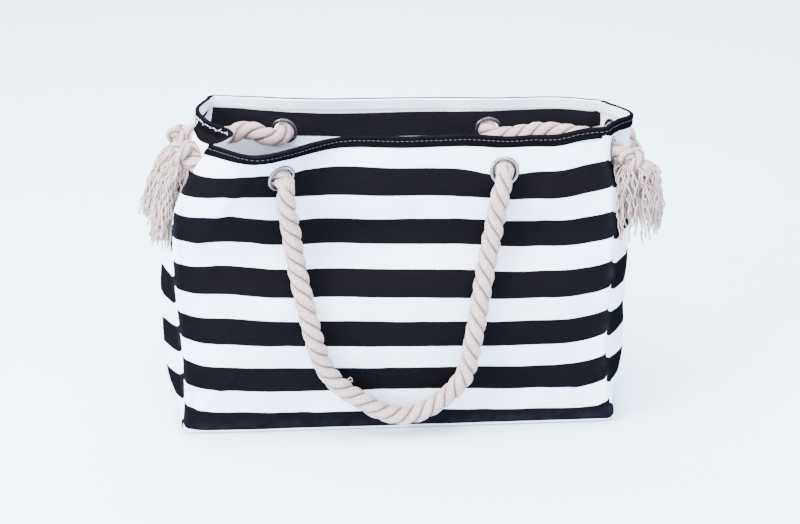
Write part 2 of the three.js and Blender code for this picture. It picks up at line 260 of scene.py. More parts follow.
def new_mesh(name, points, faces, uv=None, values=None, body="bag"):
    """A smooth-shaded piece. uv is in metres, one pair for each corner of each face."""
    mesh = bpy.data.meshes.new(name)
    points = np.asarray(points).reshape(-1, 3) * MM
    mesh.from_pydata(points.tolist(), [], [list(map(int, f)) for f in faces])
    if uv is not None:
        layer = mesh.uv_layers.new(name="cloth")
        layer.data.foreach_set("uv", np.asarray(uv, np.float32).ravel())
    for key, data in (values or {}).items():
        mesh.attributes.new(key, "FLOAT", "POINT").data.foreach_set("value", np.asarray(data, np.float32))
    mesh.shade_smooth()
    mesh.validate()
    obj = bpy.data.objects.new(name, mesh)
    bpy.context.collection.objects.link(obj)
    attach(obj, body)
    return obj


def quads(grid):
    """The four corners of each cell of a grid. They face right x up, where right is along a row."""
    cells = np.stack([grid[:-1, :-1], grid[:-1, 1:], grid[1:, 1:], grid[1:, :-1]], 2)
    return cells.reshape(-1, *cells.shape[2:])


def grid_faces(rows, columns, ring=False, loop=False, start=0):
    """Faces over a grid of points. A ring closes each row on itself, and a loop joins last row to first."""
    index = start + np.arange(rows * columns).reshape(rows, columns)
    return quads(np.pad(index, ((0, int(loop)), (0, int(ring))), mode="wrap"))


def grid_uv(u, v):
    """The UV corners of grid_faces, from the u of each column's edge and the v of each row's."""
    return quads(np.stack(np.meshgrid(u, v), -1))


def tube_faces(rows, columns, v, start=0):
    """An open tube's faces and the two that end it, with their UV corners: round it, and v along it."""
    faces = grid_faces(rows, columns, ring=True, start=start).tolist()
    uv = grid_uv(np.linspace(0, 1, columns + 1), v).reshape(-1, 2).tolist()
    last = start + (rows - 1) * columns
    faces += [list(range(start, start + columns))[::-1], list(range(last, last + columns))]
    return faces, uv + [[0, 0]] * (2 * columns)


# ---- Materials.

INK, INK_FLECK = (0.0035, 0.0031, 0.0040), (0.0085, 0.0078, 0.0098)
# INK_INSIDE_PAINTED_LIGHT is a lighter black for the canvas's inner face: painted light, bounced into the
# bag.
INK_WORN, INK_INSIDE_PAINTED_LIGHT = (0.018, 0.018, 0.026), (0.0080, 0.0073, 0.0100)
WHITE, WHITE_TONE_AND_SHADE, WHITE_WORN = (0.84, 0.88, 1.0), (0.70, 0.73, 0.90), (0.66, 0.66, 0.72)
WELT_TINTS = (0.70, 0.74, 0.88), (0.78, 0.82, 0.94)
TAPE_INK, TAPE_FLECK, TAPE_WORN = (0.0023, 0.0020, 0.0028), (0.0065, 0.0060, 0.0080), (0.014, 0.014, 0.019)
COTTON, COTTON_DIM, COTTON_TONE_AND_GAP_SHADE = (0.66, 0.475, 0.47), (0.594, 0.4275, 0.423), (0.27, 0.19, 0.175)
COTTON_SPOT, COTTON_GROOVE_SHADE = (0.24, 0.165, 0.15), (0.065, 0.042, 0.038)
YARN, YARN_PLY_SHADE = (0.58, 0.43, 0.41), (0.19, 0.13, 0.11)
NICKEL, NICKEL_DIM, NICKEL_EDGE_SHADE = (0.28, 0.276, 0.272), (0.19, 0.187, 0.184), (0.012, 0.012, 0.013)
WHITE_THREAD, GREY_THREAD = (0.84, 0.84, 0.88), (0.055, 0.055, 0.07)
LABEL_TINTS = (0.70, 0.71, 0.76), (0.62, 0.63, 0.70)
FLOOR, FLOOR_DIM = (0.69, 0.87, 1.0), (0.66, 0.85, 1.0)

STRIPE = 0.051  # a white stripe and a black one, up the cloth
BLACK_SHARE = 0.53
STRIPE_START, STRIPE_EDGE = 0.02, 0.008  # shares of a stripe
RAGGED = 0.0007
HEM = 0.0115
WEAVE = 0.00095
LABEL_WEAVE = 0.0005
TWILL = 0.0012
TAPE_RIB = 0.0009
THREAD_PLY = 0.0009
ROPE_YARNS = 30.0  # round the rope


class Shader:
    """A material's nodes, with short ways to add and join them."""

    def __init__(self, name, **sockets):
        self.material = bpy.data.materials.new(name)
        self.material.use_nodes = True
        self.tree = self.material.node_tree
        self.bsdf = next(n for n in self.tree.nodes if n.type == "BSDF_PRINCIPLED")
        for key, value in sockets.items():
            self.bsdf.inputs[key.replace("_", " ")].default_value = value

    def node(self, kind, inputs=(), **settings):
        node = self.tree.nodes.new(f"ShaderNode{kind}")
        for key, value in settings.items():
            setattr(node, key, value)
        for key, value in dict(inputs).items():
            if isinstance(value, bpy.types.NodeSocket):
                self.tree.links.new(value, node.inputs[key])
            else:
                node.inputs[key].default_value = value
        return node

    def math(self, operation, *values, clamp=False):
        return self.node("Math", enumerate(values), operation=operation, use_clamp=clamp).outputs[0]

    def times(self, a, b, plus=0.0, clamp=False):
        return self.math("MULTIPLY_ADD", a, b, plus, clamp=clamp)

    def wave(self, value, half):
        """A sine wave of a value, with half a wave's length given."""
        return self.math("SINE", self.times(value, math.pi / half))

    def noise(self, scale, detail=3.0, roughness=0.5):
        vector = self.node("TexCoord").outputs["Object"]
        inputs = {"Vector": vector, "Scale": scale, "Detail": detail, "Roughness": roughness}
        return self.node("TexNoise", inputs).outputs["Fac"]

    def cloth(self):
        """Along and up the cloth, in metres."""
        split = self.node("SeparateXYZ", {0: self.node("UVMap", uv_map="cloth").outputs[0]})
        return split.outputs[0], split.outputs[1]

    def attribute(self, name):
        return self.node("Attribute", attribute_name=name).outputs["Fac"]

    def step(self, value, edge, width):
        """0 below the edge and 1 above it, over a narrow width."""
        inputs = {"Value": value, 1: edge - width / 2, 2: edge + width / 2}
        return self.node("MapRange", inputs, interpolation_type="SMOOTHSTEP").outputs[0]

    def mix(self, factor, a, b, share=1.0):
        """From a to b by a share of a factor. A colour is a socket or three numbers."""
        a, b = (c if isinstance(c, bpy.types.NodeSocket) else (*c, 1) for c in (a, b))
        if share != 1.0:
            factor = self.times(factor, share)
        return self.node("Mix", {0: factor, 6: a, 7: b}, data_type="RGBA").outputs[2]

    def feed(self, socket, name="Base Color"):
        self.tree.links.new(socket, self.bsdf.inputs[name])

    def bump(self, height, distance, strength=0.7):
        node = self.node("Bump", {"Height": height, "Distance": distance, "Strength": strength})
        self.feed(node.outputs[0], "Normal")


def weave(s, along, up, pitch):
    """The height of a plain weave: threads over and under each other, with slubs."""
    warp, weft = s.wave(along, pitch), s.wave(up, pitch)
    crown = s.times(s.math("ABSOLUTE", warp), s.math("ABSOLUTE", weft))
    both = s.times(s.times(warp, weft), 0.35, crown)
    return s.times(s.noise(420.0, 2.0), 0.6, both)


def canvas_material():
    s = Shader("striped_canvas", Roughness=0.9, Specular_IOR_Level=0.0)
    along, up = s.cloth()
    ragged = s.times(s.noise(650.0, 2.0), RAGGED, -RAGGED / 2)
    turns = s.math("FRACT", s.math("DIVIDE", s.math("ADD", up, ragged), STRIPE))
    starts, ends = (s.step(turns, STRIPE_START + share, STRIPE_EDGE) for share in (0, BLACK_SHARE))
    black = s.times(s.math("SUBTRACT", starts, ends), s.step(s.attribute("hem_depth"), HEM, 0.0005))
    dark = s.mix(s.step(s.noise(1500.0, 2.0), 0.62, 0.25), INK, INK_FLECK, 0.5)
    dark = s.mix(s.attribute("wear"), dark, INK_WORN, 0.4)
    # Painted light: the black of the inner face is lighter, standing in for light bounced into the bag.
    outside = s.step(s.attribute("hem_depth"), 0.9, 0.1)
    dark = s.mix(outside, INK_INSIDE_PAINTED_LIGHT, dark)
    # Random patches of dimmer white: partly the cloth's own uneven tone, partly painted shade standing in
    # for its soft dents.
    pale = s.mix(s.step(s.noise(24.0, 3.0), 0.5, 0.5), WHITE_TONE_AND_SHADE, WHITE)
    pale = s.mix(s.attribute("wear"), pale, WHITE_WORN, 0.25)
    s.feed(s.mix(black, pale, dark))
    s.bump(weave(s, along, up, WEAVE), 0.00022, 0.8)
    return s.material


def woven_material(name, blotches, tints, pitch, depth, strength, **sockets):
    s = Shader(name, **sockets)
    s.feed(s.mix(s.noise(blotches), *tints))
    s.bump(weave(s, *s.cloth(), pitch), depth, strength)
    return s.material


def tape_material():
    s = Shader("rim_tape", Roughness=0.8, Specular_IOR_Level=0.0)
    along, up = s.cloth()
    twill = s.wave(s.math("ADD", along, up), TWILL / 2)
    rib = s.math("ABSOLUTE", s.wave(up, TAPE_RIB))
    tone = s.mix(s.step(s.noise(1300.0, 2.0), 0.6, 0.3), TAPE_INK, TAPE_FLECK, 0.3)
    s.feed(s.mix(s.attribute("wear"), tone, TAPE_WORN, 0.25))
    s.bump(s.times(rib, 0.4, twill), 0.00016, 0.8)
    return s.material


def rope_material():
    """Cotton rope: its yarns run almost straight along it, with painted shade between its yarns and in its
    grooves.
    """
    s = Shader("rope_cotton", Roughness=0.95, Specular_IOR_Level=0.2, Sheen_Weight=0.05)
    round_it, along = s.cloth()
    phase = s.times(round_it, ROPE_YARNS, s.times(along, 90.0))
    wobble = s.times(s.noise(160.0, 2.0), 1.2)
    yarn = s.math("ABSOLUTE", s.wave(s.math("ADD", phase, wobble), 1.0))
    fuzz = s.noise(2200.0, 4.0, roughness=0.7)
    lumps = s.noise(560.0, 4.0, roughness=0.6)
    tone = s.mix(s.noise(55.0, 3.0), COTTON, COTTON_DIM)
    # Painted shade: darker in the gaps between the yarns.
    tone = s.mix(s.math("SUBTRACT", 1.0, yarn), tone, COTTON_TONE_AND_GAP_SHADE, 0.6)
    tone = s.mix(s.step(lumps, 0.53, 0.22), tone, COTTON_SPOT, 0.55)
    # Painted shade: the grooves between the strands are darkened.
    s.feed(s.mix(s.attribute("groove"), tone, COTTON_GROOVE_SHADE, 0.95))
    s.bump(s.times(lumps, -2.2, s.times(fuzz, 0.7, yarn)), 0.0007, 0.9)
    return s.material


def yarn_material():
    s = Shader("loose_yarn", Roughness=0.95, Specular_IOR_Level=0.2, Sheen_Weight=0.05)
    round_it, along = s.cloth()
    ply = s.math("SINE", s.times(along, 2600.0, s.times(round_it, 4 * math.pi)))
    tone = s.mix(s.noise(90.0, 2.0), YARN, COTTON_TONE_AND_GAP_SHADE)
    # Painted shade: darker in the twist between the plies.
    s.feed(s.mix(s.times(ply, -0.14, 0.16, clamp=True), tone, YARN_PLY_SHADE))
    s.bump(s.times(s.noise(2600.0, 3.0), 0.6, ply), 0.00018)
    return s.material


def nickel_material():
    s = Shader("nickel", Metallic=1.0)
    rub = s.noise(700.0, 4.0, roughness=0.7)
    s.feed(s.times(rub, 0.22, 0.14), "Roughness")
    # Painted shade: the ring is darkened inside its hole and at its outer edge.
    s.feed(s.mix(s.attribute("groove"), s.mix(s.noise(130.0), NICKEL_DIM, NICKEL), NICKEL_EDGE_SHADE, 0.9))
    s.bump(rub, 0.00003, 0.6)
    return s.material


def thread_material(name, tint):
    s = Shader(name, Roughness=0.7)
    ply = s.wave(s.cloth()[0], THREAD_PLY / 2)
    s.feed(s.mix(s.noise(900.0), tint, [c * 0.8 for c in tint]))
    s.bump(ply, 0.0001)
    return s.material


def dress(obj, material, slot, *nodes):
    obj.data.materials.append(material)
    if nodes:
        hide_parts(*nodes)
    return obj


# ---- The camera, the light and the floor.

LENS, SENSOR = 68.4, 36.0
AZIMUTH, ELEVATION = math.radians(-3.5), math.radians(22.0)
DISTANCE = 1.5
TARGET = Vector((0.0037, 0, 0.1527))
BAG_MIDDLE = (0, 0, 0.15)
SKY, SKY_STRENGTH = (0.77, 0.88, 1.0, 1), 3.5
LIGHTS = {  # place, size, power, colour and what it faces
    "top_softbox": ((-0.2, -0.5, 1.9), (1.6, 1.4), 150, (1.0, 0.99, 0.98), BAG_MIDDLE),
    "left_softbox": ((-1.6, -1.1, 1.0), (0.9, 0.9), 120, (1, 1, 1), BAG_MIDDLE),
    "front_fill": ((0.5, -2.0, 0.9), (1.6, 1.0), 20, (1, 1, 1), BAG_MIDDLE),
    "floor_wash": ((0, 1.6, 2.2), (3.0, 1.5), 120, (0.93, 0.97, 1.0), (0, 1.6, 0)),
}
FLOOR_REACH = 20.0


def aimed(name, data, place, way):
    obj = bpy.data.objects.new(name, data)
    obj.location, obj.rotation_mode = place, "QUATERNION"
    obj.rotation_quaternion = way.to_track_quat("-Z", "Y")
    bpy.context.collection.objects.link(obj)
    return obj


def add_camera():
    data = bpy.data.cameras.new("camera")
    data.lens, data.sensor_width = LENS, SENSOR
    level = math.cos(ELEVATION)
    forward = Vector((-math.sin(AZIMUTH) * level, math.cos(AZIMUTH) * level, -math.sin(ELEVATION)))
    bpy.context.scene.camera = aimed("camera", data, TARGET - forward * DISTANCE, forward)


def add_light(name, place, size, power, colour, aim):
    data = bpy.data.lights.new(name, "AREA")
    data.shape, data.size, data.size_y = "RECTANGLE", *size
    data.energy, data.color = power, colour
    aimed(name, data, place, Vector(aim) - Vector(place))


def add_studio():
    world = bpy.data.worlds.new("studio")
    world.use_nodes = True
    sky = world.node_tree.nodes["Background"]
    sky.inputs["Color"].default_value = SKY
    sky.inputs["Strength"].default_value = SKY_STRENGTH
    bpy.context.scene.world = world
    for name, setting in LIGHTS.items():
        add_light(name, *setting)
    s = Shader("floor", Roughness=0.85)
    s.feed(s.mix(s.noise(6.0), FLOOR_DIM, FLOOR))
    mesh = bpy.data.meshes.new("floor")
    corners = [(x * FLOOR_REACH, y * FLOOR_REACH, 0) for x, y in ((-1, -1), (1, -1), (1, 1), (-1, 1))]
    mesh.from_pydata(corners, [], [[0, 1, 2, 3]])
    mesh.materials.append(s.material)
    floor = bpy.data.objects.new("floor", mesh)
    bpy.context.collection.objects.link(floor)


# ---- Ropes.

RUN_ARCH = {"front_left": 2, "front_right": 2, "back_right": 5, "back_left": 7}  # up, between its eyelets
LAY = 45.0  # along the rope for one turn of a strand
ROPE_LOOK = 9.2  # the strands' crowns stand a little proud of the rope's mean radius
STRAND_SIDES = 16
STRAND_TURN = 2 * math.pi / 3
PINCH_REACH = 14.0
RING_STEP = 1.5
DOME = (20, 40, 58, 74, 85)  # degrees over a rounded end
KNOT_ROPE = {"radius": 4.9, "lay": 34.0, "step": 1.3}
KNOT_RING, KNOT_SWING, KNOT_TALL = 6.2, 3.6, 7.4
FRAYS = [  # loose ends of yarn that stand out of the front handle
    [(-57, -89, 62), (-55, -91, 66), (-52, -91, 70), (-49, -90, 72), (-47, -90, 70)],
    [(-56, -90, 63), (-53, -92, 66), (-50, -92, 69), (-47, -92, 69)],
    [(80, -82, 206), (83, -84, 209), (86, -84, 210)],
]


def centripetal(points, per_span=24):
    """A centripetal Catmull-Rom curve through points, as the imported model's ropes have."""
    p = np.asarray(points, float)
    p = np.vstack([2 * p[0] - p[1], p, 2 * p[-1] - p[-2]])
    out = []
    for a, b, c, d in zip(p, p[1:], p[2:], p[3:]):
        ta, tb, tc = (max(norm(y - x) ** 0.5, 1e-4) for x, y in ((a, b), (b, c), (c, d)))
        m1 = ((b - a) / ta - (c - a) / (ta + tb) + (c - b) / tb) * tb
        m2 = ((c - b) / tb - (d - b) / (tb + tc) + (d - c) / tc) * tb
        t = np.linspace(0, 1, per_span, endpoint=False)[:, None]
        h = 2 * t**3 - 3 * t**2
        out.append((h + 1) * b + (t**3 - 2 * t**2 + t) * m1 - h * c + (t**3 - t**2) * m2)
    return np.vstack([*out, p[-2][None]])


def even(line, step):
    """The same line with its points a step apart, and how far along it each is."""
    at = lengths(line)
    where = np.linspace(0, at[-1], max(2, round(at[-1] / step) + 1))
    return np.stack([np.interp(where, at, line[:, k]) for k in range(3)], 1), where


def frames(line, closed=False):
    """Unit tangents and two unit normals that turn as little as they can along a line."""
    if closed:
        tangent = unit(np.roll(line, -1, 0) - np.roll(line, 1, 0))
    else:
        tangent = unit(np.gradient(line, axis=0))
    first = np.cross(tangent[0], (0, 0, 1.0))
    if norm(first) < 0.2:
        first = np.cross(tangent[0], (0, 1.0, 0))
    side = [unit(first)]
    for t in tangent[1:]:
        side.append(unit(side[-1] - t * (side[-1] @ t)))
    side = np.array(side)
    return tangent, side, np.cross(tangent, side)


def circled(centre, radius, angle, side, up):
    """Points round each centre: radius and angle have a row for each centre."""
    reach = radius[..., None]
    spokes = np.cos(angle)[..., None] * side[:, None] + np.sin(angle)[..., None] * up[:, None]
    return centre[:, None] + reach * spokes


def rope_section(radius):
    """Angles and radii of a section through three strands, and how deep in a groove each point is."""
    t = np.linspace(-1, 1, STRAND_SIDES, endpoint=False) + 1 / STRAND_SIDES
    t = np.sign(t) * (1 - (1 - np.abs(t)) ** 1.5)
    groove = np.exp(-(1 - np.abs(t)) / 0.16)
    r = radius * (1 - 0.15 * t**2 - 0.18 * groove)
    angles = np.concatenate([t * STRAND_TURN / 2 + k * STRAND_TURN for k in range(3)])
    return angles, np.tile(r, 3), np.tile(groove, 3)


def circle(sides):
    return np.arange(sides) * 2 * math.pi / sides


def rope_fuzz(where, angle):
    """The unevenness of a rope's surface, at each angle round each place along it."""
    where = np.broadcast_to(where, angle.shape)

    def lumps(pace, size, shift=0):
        return noise_at(np.stack([where * pace, size * np.cos(angle), size * np.sin(angle) + shift], -1))

    return lumps(0.35, 3) + 0.8 * lumps(0.13, 1.4, 7)


def closed_twist(tangent, side, length, lay):
    """How far the strands turn along a closed rope, so that they meet themselves at its end."""
    back = unit(side[-1] - tangent[0] * (side[-1] @ tangent[0]))
    left = math.atan2(np.cross(side[0], back) @ tangent[0], side[0] @ back)
    return round((-2 * math.pi * length / lay + left) / STRAND_TURN) * STRAND_TURN - left


def rope(name, points, body="bag", phase=0.0, pinch=0.0, closed=False, radius=ROPE_LOOK, lay=LAY,
         step=RING_STEP):
    """A three-strand rope along points, with rounded ends. Gives the piece and its centreline.

    pinch is how much thinner it is at its ends, where the eyelets hold it.
    """
    line, at = even(centripetal(points), step)
    if closed:
        line, at = line[:-1], at[:-1]
    tangent, side, up = frames(line, closed)
    twist = -2 * math.pi * at / lay
    if closed:
        twist = closed_twist(tangent, side, at[-1], lay) * at / (at[-1] + step)
    held = 1 - pinch * bell(np.minimum(at, at[-1] - at), PINCH_REACH)
    dome = np.radians([] if closed else DOME)
    reach = 0.95 * radius * np.sin(dome)
    beyond = np.concatenate([-reach[::-1], np.zeros(len(line)), reach])
    shrink = np.concatenate([np.cos(dome)[::-1], np.ones(len(line)), np.cos(dome)])
    ring = np.clip(np.arange(len(beyond)) - len(dome), 0, len(line) - 1)
    where = at[ring] + beyond

    angles, radii, groove = rope_section(radius)
    angle = angles + (phase + twist[ring] - 2 * math.pi * beyond / lay)[:, None]
    size = radii * (held[ring] * shrink)[:, None] * (1 + 0.06 * rope_fuzz(where[:, None], angle))
    centre = line[ring] + tangent[ring] * beyond[:, None]
    points_out = circled(centre, size, angle, side[ring], up[ring])
    rows, columns = angle.shape
    if closed:
        faces = grid_faces(rows, columns, ring=True, loop=True)
        uv = grid_uv(np.linspace(0, 1, columns + 1), np.append(where, where[-1] + step) * MM)
    else:
        faces, uv = tube_faces(rows, columns, where * MM)
    # How deep in a groove each point is; the rope material darkens it as painted shade.
    values = {"groove": np.tile(groove, rows)}
    return new_mesh(name, points_out, faces, uv, values, body), line * MM


def knot_centre(corner):
    eyelet, (out, drop, *_) = gusset_eyelets[corner], KNOTS[corner]
    return eyelet.at(out) + DOWN * drop


def pivot(corner):
    return handle_eyelets[corner].at(PIVOT_OUT)


def add_handles(material):
    for side, phase in (("front", 0.6), ("back", 2.0)):
        left, right = pivot(f"{side}_left"), pivot(f"{side}_right")
        obj, line = rope(f"{side}_handle_rope", [left, *ROUTES[side], right], body=f"{side}_handle",
                         phase=phase, pinch=0.15)
        dress(obj, material, "rope", f"{side}_handle")


def add_frays(material):
    dress(tubes("loose_rope_yarns", FRAYS, [0.45, 0.4, 0.35], body="front_handle"), material, "rope")


def add_runs(material):
    """Rope from each handle's pivot, inside round the corner, out of the gusset and into its knot."""
    inside = ROPE / 2 + RUN_DEPTH
    for corner, handle in handle_eyelets.items():
        gusset, (knot_out, _, turns_down, _) = gusset_eyelets[corner], KNOTS[corner]
        start, end = handle.at(-inside), gusset.at(-inside)
        across = unit(end - start)
        points = [
            handle.at(PIVOT_OUT - 2), handle.at(-inside / 2), start + across * RUN_CORNER,
            (start + end) / 2 - DOWN * RUN_ARCH[corner], end - across * RUN_CORNER, gusset.at(-inside / 2),
            gusset.centre, gusset.at(CANVAS / 2 + FLANGE + 1),
        ]
        if turns_down:
            points.append(gusset.at(knot_out - 3) + DOWN * 2)
        neck = -DOWN if turns_down else unit(points[-1] - knot_centre(corner))
        points.append(knot_centre(corner) + neck * KNOT * 0.48)
        obj, _ = rope(f"{corner}_inner_rope", points, phase=1.1, pinch=0.05)
        dress(obj, material, "rope", f"{corner}_rope_run")


def add_knots(material):
    """Each knot is the rope's end, worked tight: a trefoil of thinner rope."""
    t = np.linspace(0, 2 * math.pi, 40)
    wide = KNOT_RING + KNOT_SWING * np.cos(3 * t)
    for k, corner in enumerate(HANDLE_EYELETS):
        turn = 2 * t + 0.9 * k
        loop = np.stack([wide * np.cos(turn), wide * np.sin(turn), KNOT_TALL * np.sin(3 * t)], 1)
        obj, _ = rope(f"{corner}_rope_knot", knot_centre(corner) + loop, closed=True, **KNOT_ROPE)
        dress(obj, material, "rope", f"{corner}_knot")


# ---- The canvas.

SEAM_COLUMNS = [0.9, 2.0, 3.4, 5.2, 7.5]  # from a seam, where the columns stand close together
CELL = 3.1  # elsewhere
HOLE = 12.0  # what the eyelet's flanges cover
FABRIC = 315.0  # from base to rim, along the cloth
HEM_STEP, HEM_EDGE = 0.7, 0.35  # how thick the hem is inside, and half the width of its edge
DENTS = ((95.0, 2.6), (42.0, 1.5), (18.0, 0.42))  # how wide they are and how deep
# Where each wall's stripes start, and how far up they lean by its far end: each panel is cut from the
# striped cloth as it came.
SHIFT = {"front": (-6.2, 9.4), "right": (5.0, 0.0), "back": (-20.5, 5.0), "left": (13.0, 0.0)}
# Long folds in a wall: where along it and up it each is, its lean, its width and its height.
FOLDS = {
    "front": [
        (0.10, 0.80, 0.35, 0.018, 1.8), (0.06, 0.66, -0.30, 0.014, 1.3), (0.155, 0.72, -0.4, 0.016, -1.0),
        (0.30, 0.80, 0.5, 0.02, 1.0), (0.66, 0.77, -0.5, 0.02, 1.1), (0.84, 0.78, 0.4, 0.018, 1.1),
        (0.93, 0.62, -0.25, 0.015, 1.2), (0.05, 0.12, 0.7, 0.012, 1.4), (0.95, 0.10, -0.6, 0.014, 1.6),
        (0.24, 0.04, 0.8, 0.02, -0.9), (0.55, 0.05, -0.9, 0.02, -0.8),
    ],
    "back": [
        (0.2, 0.7, 0.4, 0.02, 1.4), (0.42, 0.75, -0.5, 0.02, -1.1), (0.62, 0.7, 0.5, 0.02, 1.2),
        (0.86, 0.72, -0.4, 0.018, 1.4), (0.1, 0.12, 0.6, 0.014, 1.4), (0.9, 0.1, -0.6, 0.014, 1.4),
    ],
    "right": [(0.3, 0.55, 0.5, 0.05, 1.2), (0.7, 0.4, -0.5, 0.05, 1.3), (0.45, 0.2, 0.6, 0.06, -1.0)],
    "left": [(0.35, 0.5, -0.5, 0.05, 1.2), (0.7, 0.35, 0.5, 0.05, 1.4), (0.5, 0.2, 0.7, 0.06, -1.0)],
}
# Where the canvas sags below the rim: along its wall, how wide, from what level up, and how far.
DIPS = {"front": [(0.88, 0.055, 0.70, 5.0), (0.77, 0.085, 0.935, 5.0)]}
# Where a wall's stripes wander: along it, up it, how far each way, and how far down they go.
WANDERS = {
    "front": [(0.0, 0.9, 0.10, 0.07, 9.0), (0.74, 0.89, 0.07, 0.07, 4.5)],
    "back": [(1.0, 0.95, 0.14, 0.3, -5.5), (0.0, 0.95, 0.06, 0.3, 3.0)],
}
# How far the seams pull each wall's stripes up, at the rim and at the base, and how far along it.
SEAM_PULL = {
    "front": ((4.0, 16.0), 22.0), "right": ((5.0, 9.0), 22.0),
    "back": ((4.0, 12.0), 22.0), "left": ((12.0, 15.0), 24.0),
}


def wall_columns(name):
    """Shares along a wall, denser near its seams, without its far end."""
    a, b = ends(name, np.array([0.5]))
    width = norm(b - a)[0]
    near = np.array([0, *SEAM_COLUMNS]) / width
    count = round((width * (1 - 2 * near[-1])) / CELL)
    middle = np.linspace(near[-1], 1 - near[-1], count + 1)
    return np.concatenate([near[:-1], middle, 1 - near[-2:0:-1]])


def wall_levels():
    """Shares up a wall, denser in the tuck at its base and at the hem's edge."""
    height = CORNERS["frontLeft"][2] - FLOOR_GAP - CANVAS / 2
    tuck = BASE_TUCK * (1 - np.sin(np.radians(np.linspace(90, 0, 9)))) / height
    hem = HEM / MM
    top = 1 - (hem + 1.2) / FABRIC
    body = np.linspace(tuck[-1], top, round((top - tuck[-1]) * height / CELL) + 1)
    rim = 1 - np.array([hem + HEM_EDGE, hem - HEM_EDGE, 9.4, 7.2, 4.8, 2.4, 0.8, 0]) / FABRIC
    return np.concatenate([tuck, body[1:], rim])


def creases(name, u, v, point):
    """How far the canvas stands out from its smooth shape: soft dents, and folds that the ropes pull."""
    out = np.zeros(len(u))
    for scale, amount in DENTS:
        dents = noise_at(point / scale * (1, 1.3, 1.5))
        out += amount * np.where(dents > 0, 0.6 * dents, dents)
    for eyelet in eyelets_in(name):
        away = point - eyelet.centre
        far = norm(away)
        fan = np.arctan2(away[:, 2], away @ unit(np.cross((0, 0, 1.0), eyelet.out)))
        out += 0.55 * np.cos(5 * fan + 0.8) * bell(far, 16, 30)
    for middle, low, lean, wide, amount in FOLDS[name]:
        line = u - middle - lean * (v - low)
        out += amount * bell(line, wide) * bell(v, 0.13, low)
    return out


def seam_work(name, from_seam, up):
    """The groove along each corner seam and the puckers that its stitching draws beside it."""
    groove = -1.5 * bell(from_seam, 1.7)
    pucker = noise_at(np.stack([up / 5.5, from_seam / 20, np.full(len(up), len(name))], -1))
    ridge = 0.9 * bell(from_seam, 2.6, 3.6)
    return groove + ridge * (1 + 0.5 * pucker) + 1.1 * pucker * np.exp(-from_seam / 8)


